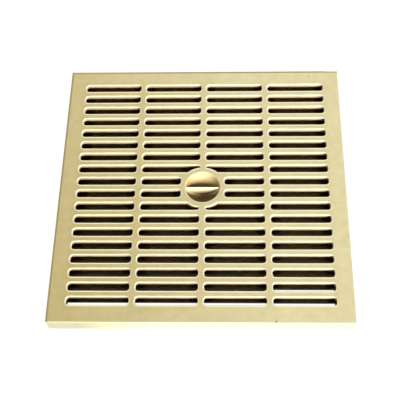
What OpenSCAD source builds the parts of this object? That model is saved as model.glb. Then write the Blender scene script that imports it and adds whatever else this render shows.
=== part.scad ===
// Square drain grate, moulded in one piece: a slotted deck, a skirt round its edge,
// crossed ribs underneath and a round finger grip in the middle.
// The origin is the middle of the base, +Z is up and the slots run along X.

/* [Deck] */
// Side of the square at the top
side = 300; // [220:1:400]
// Height from the surface it rests on to the top of the deck
height = 20; // [16:0.5:30]
// Thickness of the slotted deck
deck_t = 4.8; // [3:0.1:6]
// Least width of the plain border round the slots
border = 16; // [14:0.5:24]
// Radius of the four upright corners
corner_r = 1.5; // [1:0.1:3]
// Bevel round the top edge of the deck
edge_bevel = 0.3; // [0.2:0.1:1.2]

/* [Slots] */
// Length of a slot
slot_l = 61.4; // [40:0.1:80]
// Width of a slot
slot_w = 8.8; // [7:0.1:10]
// Radius in the corners of a slot
slot_r = 3; // [2:0.1:3.4]
// Width of a bar between two slots
bar_w = 6.2; // [5.5:0.1:8]
// Width of a divider between two columns of slots
divider_w = 6; // [5:0.1:10]
// Bevel round the mouth of a slot
slot_bevel = 0.5; // [0.3:0.1:1]

/* [Skirt] */
// Thickness of the skirt at its foot
skirt_t = 2.8; // [2:0.1:4]
// Draft of the skirt's faces, in degrees
draft = 1.5; // [0.5:0.1:2.5]

/* [Ribs] */
// Thickness of a rib where it leaves the deck
rib_t = 3.2; // [2.6:0.1:4]
// Thickness of a rib at its lower edge
rib_tip = 2.4; // [1.6:0.1:2.6]
// Distance from the foot of the skirt up to the ribs
rib_lift = 1; // [0.5:0.1:4]
// Every how many ribs one runs on to the skirt
web_step = 3; // [1:1:6]

/* [Finger grip] */
// Radius of the round pad that the slots stop at
pad_r = 24; // [22:0.5:28]
// Radius of the hollow in the pad, at the top
dish_r = 18.1; // [15:0.1:19]
// Depth of the hollow
dish_d = 9; // [5:0.1:10]
// Thickness of the hollow's shell
dish_t = 2.6; // [2:0.1:3.5]
// Thickness of the ring under the pad's edge
ring_t = 3; // [2:0.1:4]
// Thickness of the grip bar at its top
grip_top = 1.2; // [1:0.1:2.4]
// Thickness of the grip bar at the bottom of the hollow
grip_foot = 7; // [3:0.1:8]
// Distance from the top of the deck down to the grip bar
grip_drop = 1; // [0.5:0.1:2]

/* [Hidden] */
sand = "#dcd2a4";

// Straight pieces in each rounded corner of an outline
corner_steps = 3;
$fn = 96;
// How far a cut runs past a face, and how far joined solids reach into each other
over = 1;

row_pitch = slot_w + bar_w;
col_pitch = slot_l + divider_w;
rows = floor((side - 2 * border + bar_w) / row_pitch);
cols = floor((side - 2 * border + divider_w) / col_pitch);

lean = tan(draft);
deck_z = height - deck_t;
rib_h = deck_z - rib_lift;

// Side of the skirt's foot, outside and inside
foot_side = side - 2 * height * lean;
inner_side = foot_side - 2 * skirt_t;

// The hollow is a cap of a ball: its radius and the height of its centre
ball_r = (dish_r * dish_r + dish_d * dish_d) / (2 * dish_d);
ball_z = height - dish_d + ball_r;

// Middle of slot or rib number i out of n spaces of one pitch
function slot_at(i, n, pitch) = (i - (n - 1) / 2) * pitch;
function rib_at(i, n, pitch) = (i - n / 2) * pitch;

// Half of the pad's width along the middle of a row, or 0 where the slots run past the pad
function pad_reach(y) = abs(y) < pad_r / 2 ? sqrt(pad_r * pad_r - y * y) : 0;

// The parts of a row from a to b that lie outside -gap to gap
function parts_outside(a, b, gap) =
    gap == 0 ? [[a, b]] : concat(
        a < -gap ? [[a, min(b, -gap)]] : [],
        b > gap ? [[max(a, gap), b]] : []
    );

// Corner points of a rectangle with rounded corners, anticlockwise
function rounded(l, w, r) = [
    for (q = [0 : 3], s = [0 : corner_steps])
        let (
            a = 90 * (q + s / corner_steps),
            cx = [1, -1, -1, 1][q] * (l / 2 - r),
            cy = [1, 1, -1, -1][q] * (w / 2 - r)
        )
        [cx + r * cos(a), cy + r * sin(a)]
];

// Block along X, standing on its foot, with other widths at its top and its foot
module drafted_bar(length, top_w, foot_w, h) {
    rotate([90, 0, 90])
        linear_extrude(length, center = true)
            polygon([
                [-foot_w / 2, 0], [foot_w / 2, 0],
                [top_w / 2, h], [-top_w / 2, h]
            ]);
}

// Square block, standing on its foot, with other widths at its top and its foot
module drafted_block(top_w, foot_w, h) {
    intersection() {
        drafted_bar(max(top_w, foot_w), top_w, foot_w, h);
        rotate(90) drafted_bar(max(top_w, foot_w), top_w, foot_w, h);
    }
}

// Outer form of the grate, with its bevelled top edge and rounded upright corners
module envelope() {
    intersection() {
        drafted_block(side, foot_side, height);
        linear_extrude(height) polygon(rounded(side, side, corner_r));
        top_bevel();
        rotate(90) top_bevel();
    }
}

// Bar as large as the grate, with the bevel along two of its top edges
module top_bevel() {
    half = side / 2;
    rotate([90, 0, 90])
        linear_extrude(side + 2 * over, center = true)
            polygon([
                [-half - over, -over], [half + over, -over],
                [half + over, height - edge_bevel - over],
                [half - edge_bevel, height],
                [-half + edge_bevel, height],
                [-half - over, height - edge_bevel - over]
            ]);
}

// Skirt and deck as one shell, open below
module shell() {
    difference() {
        envelope();
        drafted_block(inner_side - 2 * deck_z * lean, inner_side, deck_z);
    }
}

// Rounded rectangle that grows by its own height on every side, as a 45 degree bevel
module flared(l, w, r, h) {
    n = 4 * (corner_steps + 1);
    polyhedron(
        points = concat(
            [for (p = rounded(l, w, r)) [p.x, p.y, 0]],
            [for (p = rounded(l + 2 * h, w + 2 * h, r + h)) [p.x, p.y, h]]
        ),
        faces = concat(
            [[for (i = [0 : n - 1]) i], [for (i = [n - 1 : -1 : 0]) n + i]],
            [for (i = [0 : n - 1]) [i, n + i, n + (i + 1) % n, (i + 1) % n]]
        )
    );
}

// Cutter for one slot, with the bevel round its mouth
module slot_cut(length) {
    translate([0, 0, deck_z - over])
        linear_extrude(deck_t + 2 * over)
            polygon(rounded(length, slot_w, slot_r));
    translate([0, 0, height - slot_bevel])
        flared(length, slot_w, slot_r, slot_bevel + over);
}

// The slots of the rows that stop at the pad, or of all the other rows
module slots(at_pad) {
    for (j = [0 : rows - 1])
        let (y = slot_at(j, rows, row_pitch), gap = pad_reach(y))
            if ((gap > 0) == at_pad)
                for (i = [0 : cols - 1])
                    let (x = slot_at(i, cols, col_pitch))
                        for (part = parts_outside(x - slot_l / 2, x + slot_l / 2, gap))
                            translate([(part[0] + part[1]) / 2, y, 0])
                                slot_cut(part[1] - part[0]);
}

// Ribs under the bars, and ribs across them under the dividers
module ribs() {
    field_x = cols * col_pitch + rib_t;
    reach = foot_side - skirt_t;
    translate([0, 0, rib_lift]) {
        for (j = [0 : rows])
            translate([0, rib_at(j, rows, row_pitch), 0])
                drafted_bar(j % web_step == 0 ? reach : field_x, rib_t, rib_tip, rib_h + over);
        for (i = [0 : cols])
            translate([rib_at(i, cols, col_pitch), 0, 0])
                rotate(90) drafted_bar(reach, rib_t, rib_tip, rib_h + over);
    }
}

// Round pad with its ring wall and the shell of the hollow
module pad() {
    translate([0, 0, deck_z]) {
        cylinder(h = deck_t - slot_bevel, r = pad_r);
        translate([0, 0, deck_t - slot_bevel])
            cylinder(h = slot_bevel, r1 = pad_r, r2 = pad_r - slot_bevel);
    }
    translate([0, 0, rib_lift])
        difference() {
            cylinder(h = rib_h + over, r = pad_r);
            translate([0, 0, -over]) cylinder(h = rib_h + 3 * over, r = pad_r - ring_t);
        }
    intersection() {
        translate([0, 0, ball_z]) sphere(r = ball_r + dish_t);
        cylinder(h = deck_z + over, r = pad_r - ring_t / 2);
    }
}

// Straight bar across the hollow, thinner at its rounded top
module grip_bar() {
    foot_z = height - dish_d - dish_t / 2;
    top_z = height - grip_drop;
    r = grip_top / 2;
    intersection() {
        rotate([90, 0, 90])
            linear_extrude(2 * (dish_r + over), center = true)
                polygon([
                    [-grip_foot / 2, foot_z], [grip_foot / 2, foot_z],
                    for (a = [0 : 30 : 180]) [r * cos(a), top_z - r + r * sin(a)]
                ]);
        translate([0, 0, foot_z]) cylinder(h = height, r = dish_r + over);
    }
}

// Hollow for the fingers, with its bevelled rim
module dish_cut() {
    translate([0, 0, ball_z]) sphere(r = ball_r);
    translate([0, 0, height - slot_bevel])
        cylinder(h = slot_bevel + over, r1 = dish_r - slot_bevel / 2, r2 = dish_r + over + slot_bevel / 2);
}

module grate() {
    color(sand) {
        difference() {
            union() {
                difference() {
                    shell();
                    slots(false);
                }
                difference() {
                    ribs();
                    translate([0, 0, -over]) cylinder(h = height, r = pad_r - ring_t / 2);
                }
                pad();
            }
            slots(true);
            dish_cut();
        }
        grip_bar();
    }
}

grate();
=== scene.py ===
"""Looks and setting for a square drain grate moulded in sand-coloured plastic."""
import math

import bpy
from mathutils import Matrix, Vector


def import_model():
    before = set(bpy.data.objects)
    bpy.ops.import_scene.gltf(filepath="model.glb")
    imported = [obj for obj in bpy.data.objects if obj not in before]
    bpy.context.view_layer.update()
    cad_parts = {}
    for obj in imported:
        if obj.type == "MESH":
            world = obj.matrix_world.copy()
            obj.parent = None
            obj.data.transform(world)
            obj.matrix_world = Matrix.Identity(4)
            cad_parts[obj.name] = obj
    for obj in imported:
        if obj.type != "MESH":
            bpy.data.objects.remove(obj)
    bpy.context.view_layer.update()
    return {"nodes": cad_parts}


# Half of the side and the height of the deck's top. Lengths are in metres.
HALF_SIDE = 0.150
TOP_Z = 0.020

# Camera, fitted to the photograph
SENSOR = 36.0
LENS = 75.08
CAMERA_AT = (0.02764, -0.43279, 0.77624)
CAMERA_RIGHT = (0.9994, 0.0161, -0.03076)
CAMERA_UP = (0.00076, 0.87562, 0.48299)
CAMERA_FAR = 20.0

# Key lamp: a large soft one at the front and to the right. A turn goes from the front to the right.
KEY_TURN = math.radians(33)
KEY_RISE = math.radians(23.5)
KEY_SPREAD = math.radians(26)
KEY_STRENGTH = 7.2
# Weak lamp for the sides that lie in shadow, at the back and to the left
BACK_TURN = math.radians(215)
BACK_RISE = math.radians(30)
BACK_SPREAD = math.radians(60)
BACK_STRENGTH = 0.45
# Even light from all round, and the colour of every light
FILL_STRENGTH = 0.08
LAMP_COLOUR = (1.0, 1.0, 1.0)
WHITE = (1.0, 1.0, 1.0, 1)

# Ground: how bright it and the background look to the camera, and where it lies clear of the object
GROUND_WHITE = (0.80, 0.80, 0.80, 1)
GROUND_GLOW = 0.92
BACKGROUND_GLOW = 1.0
GROUND_HALF = 3.0
CLEAR_FROM = HALF_SIDE - 0.005
CLEAR_TO = HALF_SIDE + 0.005
# White ground seen through the front slots, in bands: from X to X and from Y to Y.
# The first two lie under the front row, the third under the right slot of the row behind it. Their glow
# is painted light, standing in for light that falls on the ground there.
PAINTED_LIGHT_BANDS = [
    (-0.1350, 0.0660, -0.1250, -0.1217),
    (0.0660, 0.1325, -0.1250, -0.1220),
    (0.0660, 0.1325, -0.1092, -0.1074),
]
BAND_SOFT = 0.0003
BAND_PAINTED_LIGHT = 1.0

# Rounding of the moulded edges
EDGE_ROUND = 0.00035
EDGE_SEGMENTS = 2
SHARP_ANGLE = math.radians(28)
WELD_GAP = 1e-6

# Colours of the plastic, linear RGB
SAND = (0.53, 0.425, 0.185, 1)
SAND_PALER = (0.74, 0.65, 0.365, 1)
EDGE_HIGHLIGHT = (1.0, 0.97, 0.75, 1)
RIM_SHADE = (0.34, 0.29, 0.15, 1)
DEEP_SHADE = (0.120, 0.034, 0.002, 1)

# Painted light: the colour drifts over the deck from the front left to the right, paler where more light
# falls
DRIFT_X = 1.0
DRIFT_Y = 0.2
DRIFT_FROM = -0.19
DRIFT_TO = 0.06
CLOUD_SCALE = 14.0
CLOUD_DETAIL = 3.0
CLOUD_SHARE = 0.25
# The field of the slots is a little deeper in colour than the border
FIELD_FROM = HALF_SIDE - 0.020
FIELD_TO = HALF_SIDE - 0.012
FIELD_DROP = 0.165

# Painted highlight: pale line along the upper edges of the slots, the hollow and the deck
EDGE_REACH = 0.0022
EDGE_LEAN = (0, -0.4, 0)
EDGE_START = 0.86
EDGE_FULL = 0.70
EDGE_FROM_Z = TOP_Z - 0.005
EDGE_TO_Z = TOP_Z - 0.002

# Painted light on the skirt's front face: greyer, as shade, at the left, and paler, as light, over the
# rest
FRONT_SHADE = (0.36, 0.345, 0.21, 1)
FRONT_LIT = (0.62, 0.58, 0.36, 1)
FRONT_FROM = 0.0014 - HALF_SIDE
FRONT_TO = 0.0006 - HALF_SIDE
FRONT_LEFT = -0.12
FRONT_RIGHT = -0.05
FRONT_TOP_Z = TOP_Z
FRONT_FULL_Z = TOP_Z - 0.0006

# Painted shade: darker line along the outer edge at the left and at the back
RIM_FROM = HALF_SIDE - 0.0024
RIM_TO = HALF_SIDE - 0.0017

# Painted shade: browner, darker colour down in the slots and between the ribs, but not on faces that look
# down
DEEP_REACH = 0.014
NO_LEAN = (0, 0, 0)
DEEP_SHUT = 0.68
DEEP_OPEN = 0.88
DEEP_TOP_Z = TOP_Z - 0.0028
DEEP_FULL_Z = TOP_Z - 0.0055
DEEP_TOP_SHARE = 0.30
DEEP_DOWN = -0.6
DEEP_SIDE = -0.2

# The hollow, and how its rim and its top blend into the deck
HOLLOW_RADIUS = 0.0183
HOLLOW_SOFT = 0.0003
HOLLOW_TOP_Z = TOP_Z - 0.0002
HOLLOW_FULL_Z = TOP_Z - 0.0010
# Painted shadow, brown, in its front half, from the foot of the grip bar on, and low on the bar's front,
# where the rim's shadow falls
HOLLOW_SHADOW = (0.13, 0.058, 0.008, 1)
HOLLOW_SHARE = 0.95
HOLLOW_FOOT_Y = -0.0038
HOLLOW_FULL_Y = -0.0068
GRIP_FROM_Z = TOP_Z - 0.0042
GRIP_FULL_Z = TOP_Z - 0.0090
# Painted shadow, a warmer brown tint, in its rear half towards the grip bar, where the bar's shadow falls
REAR_SHADOW = (0.42, 0.245, 0.06, 1)
REAR_SHARE = 0.9
REAR_FROM_Y = 0.0150
REAR_FULL_Y = 0.0065

# Small dark spots on the deck: place in X and Y, radius, and how dark. The first is a speck on the
# plastic, the second painted shade for a small notch in the front edge
SPECKS_AND_NOTCH_SHADE = [(0.1170, 0.1426, 0.0016, 0.30), (0.0728, -0.1487, 0.0015, 0.60)]
MARK_CORE = 0.5
MARK_FROM_Z = TOP_Z - 0.0015
MARK_TO_Z = TOP_Z - 0.0005
MARK_DARK = (0.10, 0.08, 0.05, 1)

# Fine grain of the moulded surface, with a coarser mottle, and the span of their noise
GRAIN_SCALE = 900.0
GRAIN_DETAIL = 2.0
GRAIN_TINT = 0.10
GRAIN_BUMP = 0.12
GRAIN_DEPTH = 0.0001
MOTTLE_SCALE = 120.0
MOTTLE_DETAIL = 4.0
MOTTLE_SHARE = 0.5
NOISE_LOW = 0.3
NOISE_HIGH = 0.7
ROUGH_LOW = 0.55
ROUGH_HIGH = 0.72
GLOSS = 0.22
AO_SAMPLES = 8


def new_material(name):
    """Empty node material and its tree."""
    material = bpy.data.materials.new(name)
    material.use_nodes = True
    material.node_tree.nodes.clear()
    return material, material.node_tree


def add(tree, kind, inputs=None, **settings):
    """Adds a node, with its settings and with its inputs set or linked."""
    node = tree.nodes.new(kind)
    for key, value in settings.items():
        setattr(node, key, value)
    for key, value in (inputs or {}).items():
        if isinstance(value, bpy.types.NodeSocket):
            tree.links.new(value, node.inputs[key])
        else:
            node.inputs[key].default_value = value
    return node


def calculate(tree, operation, first, second=0.0, third=0.0, clamp=False):
    """Result of a Math node with up to three numbers or sockets."""
    inputs = {0: first, 1: second, 2: third}
    return add(tree, "ShaderNodeMath", inputs, operation=operation, use_clamp=clamp).outputs["Value"]


def times(tree, first, *others):
    """Product of numbers and sockets."""
    product = first
    for other in others:
        product = calculate(tree, "MULTIPLY", product, other)
    return product


def ramp(tree, value, start, end, low=0.0, high=1.0):
    """A value's clamped straight-line change, from low at start to high at end."""
    inputs = {"Value": value, "From Min": start, "From Max": end, "To Min": low, "To Max": high}
    return add(tree, "ShaderNodeMapRange", inputs, clamp=True).outputs["Result"]


def blend(tree, factor, first, second):
    """Mix of two colours."""
    inputs = {"Factor": factor, "A": first, "B": second}
    return add(tree, "ShaderNodeMix", inputs, data_type="RGBA").outputs["Result"]


def openness(tree, reach, lean, inside):
    """How open the surface is within a reach, outside or inside its solid, with its normal leant."""
    facing = add(tree, "ShaderNodeNewGeometry").outputs["Normal"]
    leant = add(tree, "ShaderNodeVectorMath", {0: facing, 1: lean}, operation="ADD").outputs[0]
    normal = add(tree, "ShaderNodeVectorMath", {0: leant}, operation="NORMALIZE").outputs[0]
    inputs = {"Distance": reach, "Normal": normal}
    kind = "ShaderNodeAmbientOcclusion"
    return add(tree, kind, inputs, samples=AO_SAMPLES, inside=inside, only_local=True).outputs["AO"]


def outward(tree, part):
    """Distance from the middle of the square, measured as a square."""
    across = calculate(tree, "ABSOLUTE", part["X"])
    along = calculate(tree, "ABSOLUTE", part["Y"])
    return calculate(tree, "MAXIMUM", across, along)


def from_axis(tree, part):
    """Distance from the upright line that X and Y are measured from."""
    flat = add(tree, "ShaderNodeCombineXYZ", {"X": part["X"], "Y": part["Y"]}).outputs[0]
    return add(tree, "ShaderNodeVectorMath", {0: flat}, operation="LENGTH").outputs["Value"]


def body_colour(tree, place, part):
    """Sand colour with painted light that drifts paler over the deck towards the right, with faint
    clouds.
    """
    inputs = {"Vector": place, "Scale": CLOUD_SCALE, "Detail": CLOUD_DETAIL}
    clouds = add(tree, "ShaderNodeTexNoise", inputs).outputs["Fac"]
    slant = times(tree, part["Y"], DRIFT_Y)
    along = calculate(tree, "MULTIPLY_ADD", part["X"], DRIFT_X, slant)
    painted_light_drift = ramp(tree, along, DRIFT_FROM, DRIFT_TO)
    cloudy = calculate(tree, "MULTIPLY_ADD", clouds, CLOUD_SHARE, painted_light_drift)
    field = ramp(tree, outward(tree, part), FIELD_TO, FIELD_FROM, 0.0, FIELD_DROP)
    centred = calculate(tree, "SUBTRACT", cloudy, CLOUD_SHARE / 2)
    factor = calculate(tree, "SUBTRACT", centred, field, clamp=True)
    return blend(tree, factor, SAND, SAND_PALER)


def paint_deep_shade(tree, colour, part):
    """Paints shade: turns the colour browner where the surface lies deep between others, outside the
    hollow.
    """
    shut = ramp(tree, openness(tree, DEEP_REACH, NO_LEAN, False), DEEP_SHUT, DEEP_OPEN, 1.0, 0.0)
    low = ramp(tree, part["Z"], DEEP_TOP_Z, DEEP_FULL_Z, DEEP_TOP_SHARE, 1.0)
    facing = add(tree, "ShaderNodeNewGeometry").outputs["Normal"]
    upward = add(tree, "ShaderNodeSeparateXYZ", {"Vector": facing}).outputs["Z"]
    seen = ramp(tree, upward, DEEP_DOWN, DEEP_SIDE)
    beside = ramp(tree, from_axis(tree, part), HOLLOW_RADIUS, HOLLOW_RADIUS + HOLLOW_SOFT)
    return blend(tree, times(tree, shut, low, seen, beside), colour, DEEP_SHADE)


def paint_hollow_shadow(tree, colour, part):
    """Paints shadow into the hollow: brown in its front half and low on the grip bar, and warmer in its
    rear half.
    """
    within = ramp(tree, from_axis(tree, part), HOLLOW_RADIUS, HOLLOW_RADIUS - HOLLOW_SOFT)
    front = ramp(tree, part["Y"], HOLLOW_FOOT_Y, HOLLOW_FULL_Y, 0.0, HOLLOW_SHARE)
    grip = ramp(tree, part["Z"], GRIP_FROM_Z, GRIP_FULL_Z, 0.0, HOLLOW_SHARE)
    behind = calculate(tree, "GREATER_THAN", part["Y"], 0.0)
    before = calculate(tree, "SUBTRACT", 1.0, behind)
    front = times(tree, calculate(tree, "MAXIMUM", front, grip), before)
    rear = ramp(tree, part["Y"], REAR_FROM_Y, REAR_FULL_Y, 0.0, REAR_SHARE)
    below = ramp(tree, part["Z"], HOLLOW_TOP_Z, HOLLOW_FULL_Z)
    colour = blend(tree, times(tree, within, below, rear, behind), colour, REAR_SHADOW)
    return blend(tree, times(tree, within, below, front), colour, HOLLOW_SHADOW)


def painted_edge_highlight(tree, colour, part):
    """Painted highlight: pale line along the upper edges of the slots, the hollow and the deck."""
    near = ramp(tree, openness(tree, EDGE_REACH, EDGE_LEAN, True), EDGE_START, EDGE_FULL)
    high = ramp(tree, part["Z"], EDGE_FROM_Z, EDGE_TO_Z)
    return blend(tree, times(tree, near, high), colour, EDGE_HIGHLIGHT)


def painted_front_light(tree, colour, part):
    """Painted light on the skirt's front face: a greyer shade at the left, and a paler, lit colour over
    the rest.
    """
    face = ramp(tree, part["Y"], FRONT_FROM, FRONT_TO)
    along = ramp(tree, part["X"], FRONT_LEFT, FRONT_RIGHT)
    low = ramp(tree, part["Z"], FRONT_TOP_Z, FRONT_FULL_Z)
    shade = blend(tree, along, FRONT_SHADE, FRONT_LIT)
    return blend(tree, times(tree, face, low), colour, shade)


def painted_rim_shade(tree, colour, part):
    """Painted shade: thin darker line along the outer edge of the deck at the left and at the back."""
    left = times(tree, part["X"], -1.0)
    far = calculate(tree, "MAXIMUM", left, part["Y"])
    line = ramp(tree, far, RIM_FROM, RIM_TO)
    high = ramp(tree, part["Z"], EDGE_FROM_Z, EDGE_TO_Z)
    return blend(tree, times(tree, line, high), colour, RIM_SHADE)


def speck_and_notch_shade(tree, colour, part):
    """Small dark spots with soft edges, on the deck's top only: a speck, and painted shade for a notch.
    """
    high = ramp(tree, part["Z"], MARK_FROM_Z, MARK_TO_Z)
    for x, y, radius, share in SPECKS_AND_NOTCH_SHADE:
        across = calculate(tree, "SUBTRACT", part["X"], x)
        along = calculate(tree, "SUBTRACT", part["Y"], y)
        distance = from_axis(tree, {"X": across, "Y": along})
        near = ramp(tree, distance, radius, radius * MARK_CORE, 0.0, share)
        colour = blend(tree, times(tree, near, high), colour, MARK_DARK)
    return colour


def grain(tree, place, colour):
    """Fine grain: its tint on the colour, its roughness and its bump."""
    inputs = {"Vector": place, "Scale": GRAIN_SCALE, "Detail": GRAIN_DETAIL}
    fine = add(tree, "ShaderNodeTexNoise", inputs).outputs["Fac"]
    inputs = {"Vector": place, "Scale": MOTTLE_SCALE, "Detail": MOTTLE_DETAIL}
    mottle = add(tree, "ShaderNodeTexNoise", inputs).outputs["Fac"]
    both = calculate(tree, "MULTIPLY_ADD", mottle, MOTTLE_SHARE, times(tree, fine, 1.0 - MOTTLE_SHARE))
    value = ramp(tree, both, NOISE_LOW, NOISE_HIGH, 1.0 - GRAIN_TINT, 1.0 + GRAIN_TINT)
    inputs = {"Color": colour, "Value": value}
    tinted = add(tree, "ShaderNodeHueSaturation", inputs).outputs["Color"]
    rough = ramp(tree, mottle, NOISE_LOW, NOISE_HIGH, ROUGH_LOW, ROUGH_HIGH)
    inputs = {"Height": fine, "Strength": GRAIN_BUMP, "Distance": GRAIN_DEPTH}
    normal = add(tree, "ShaderNodeBump", inputs).outputs["Normal"]
    return tinted, rough, normal


def plastic():
    """Sand-coloured plastic with fine grain, and with light and shade painted into its colour: shaded
    depths, hollow and rim, highlighted moulded edges and a lit front face.
    """
    material, tree = new_material("sand_plastic")
    place = add(tree, "ShaderNodeTexCoord").outputs["Object"]
    part = add(tree, "ShaderNodeSeparateXYZ", {"Vector": place}).outputs
    colour = body_colour(tree, place, part)
    colour = paint_deep_shade(tree, colour, part)
    colour = paint_hollow_shadow(tree, colour, part)
    colour, rough, normal = grain(tree, place, colour)
    colour = painted_edge_highlight(tree, colour, part)
    colour = painted_front_light(tree, colour, part)
    colour = painted_rim_shade(tree, colour, part)
    colour = speck_and_notch_shade(tree, colour, part)
    inputs = {
        "Base Color": colour, "Roughness": rough, "Normal": normal, "Specular IOR Level": GLOSS,
    }
    shader = add(tree, "ShaderNodeBsdfPrincipled", inputs)
    add(tree, "ShaderNodeOutputMaterial", {"Surface": shader.outputs["BSDF"]})
    return material


def in_band(tree, part, band):
    """How far a point of the ground lies within a band, with soft edges."""
    left, right, front, back = band
    within = ramp(tree, part["X"], left, left + BAND_SOFT)
    for value, start, end in (
        (part["X"], right, right - BAND_SOFT),
        (part["Y"], front, front + BAND_SOFT),
        (part["Y"], back, back - BAND_SOFT),
    ):
        within = times(tree, within, ramp(tree, value, start, end))
    return within


def ground():
    """Pale ground that looks white to the camera where it is clear of the object, and glows with painted
    light in the bands.
    """
    material, tree = new_material("ground")
    place = add(tree, "ShaderNodeTexCoord").outputs["Object"]
    part = add(tree, "ShaderNodeSeparateXYZ", {"Vector": place}).outputs
    clear = ramp(tree, outward(tree, part), CLEAR_FROM, CLEAR_TO)
    strength = times(tree, clear, GROUND_GLOW)
    for band in PAINTED_LIGHT_BANDS:
        strength = calculate(tree, "MAXIMUM", strength, times(tree, in_band(tree, part, band), BAND_PAINTED_LIGHT))
    diffuse = add(tree, "ShaderNodeBsdfDiffuse", {"Color": GROUND_WHITE}).outputs[0]
    glow = add(tree, "ShaderNodeEmission", {"Strength": strength}).outputs[0]
    both = add(tree, "ShaderNodeAddShader", {0: diffuse, 1: glow}).outputs[0]
    direct = add(tree, "ShaderNodeLightPath").outputs["Is Camera Ray"]
    mixed = add(tree, "ShaderNodeMixShader", {0: direct, 1: diffuse, 2: both}).outputs[0]
    add(tree, "ShaderNodeOutputMaterial", {"Surface": mixed})
    return material


def floor():
    """Plain square of ground under the object."""
    mesh = bpy.data.meshes.new("floor")
    half = GROUND_HALF
    corners = [(-half, -half, 0), (half, -half, 0), (half, half, 0), (-half, half, 0)]
    mesh.from_pydata(corners, [], [(0, 1, 2, 3)])
    mesh.materials.append(ground())
    plane = bpy.data.objects.new("floor", mesh)
    bpy.context.scene.collection.objects.link(plane)


def round_edges(node):
    """Rounds the sharp edges of a node of the frame, with its mesh left as it is."""
    weld = node.modifiers.new("weld", "WELD")
    weld.merge_threshold = WELD_GAP
    bevel = node.modifiers.new("bevel", "BEVEL")
    bevel.width = EDGE_ROUND
    bevel.segments = EDGE_SEGMENTS
    bevel.limit_method = "ANGLE"
    bevel.angle_limit = SHARP_ANGLE
    bevel.use_clamp_overlap = True
    normals = node.modifiers.new("normals", "WEIGHTED_NORMAL")
    normals.keep_sharp = False


def camera():
    """Camera at the photograph's place and angle."""
    data = bpy.data.cameras.new("camera")
    data.sensor_width = SENSOR
    data.lens = LENS
    data.clip_end = CAMERA_FAR
    right = Vector(CAMERA_RIGHT).normalized()
    back = right.cross(Vector(CAMERA_UP)).normalized()
    up = back.cross(right)
    turn = Matrix((right, up, back)).transposed()
    eye = bpy.data.objects.new("camera", data)
    eye.matrix_world = Matrix.Translation(CAMERA_AT) @ turn.to_4x4()
    bpy.context.scene.collection.objects.link(eye)
    bpy.context.scene.camera = eye


def far_lamp(name, strength, spread, turn, rise):
    """Large soft lamp, far off."""
    data = bpy.data.lights.new(name, "SUN")
    data.energy = strength
    data.angle = spread
    data.color = LAMP_COLOUR
    reach = math.cos(rise)
    towards = Vector((reach * math.sin(turn), -reach * math.cos(turn), math.sin(rise)))
    lamp = bpy.data.objects.new(name, data)
    lamp.location = towards
    lamp.rotation_euler = towards.to_track_quat("Z", "Y").to_euler()
    bpy.context.scene.collection.objects.link(lamp)


def world():
    """Weak even fill, and a white background behind the ground."""
    sky = bpy.data.worlds.new("studio")
    sky.use_nodes = True
    tree = sky.node_tree
    tree.nodes.clear()
    inputs = {"Color": WHITE, "Strength": FILL_STRENGTH}
    fill = add(tree, "ShaderNodeBackground", inputs).outputs[0]
    white = add(tree, "ShaderNodeBackground", {"Color": WHITE, "Strength": BACKGROUND_GLOW}).outputs[0]
    direct = add(tree, "ShaderNodeLightPath").outputs["Is Camera Ray"]
    mixed = add(tree, "ShaderNodeMixShader", {0: direct, 1: fill, 2: white}).outputs[0]
    add(tree, "ShaderNodeOutputWorld", {"Surface": mixed})
    bpy.context.scene.world = sky


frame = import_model()

camera()
grate = frame["nodes"]["grate"]
round_edges(grate)
grate.data.materials.clear()
grate.data.materials.append(plastic())

floor()
world()
far_lamp("key", KEY_STRENGTH, KEY_SPREAD, KEY_TURN, KEY_RISE)
far_lamp("back", BACK_STRENGTH, BACK_SPREAD, BACK_TURN, BACK_RISE)
bpy.context.scene.view_settings.view_transform = "Standard"
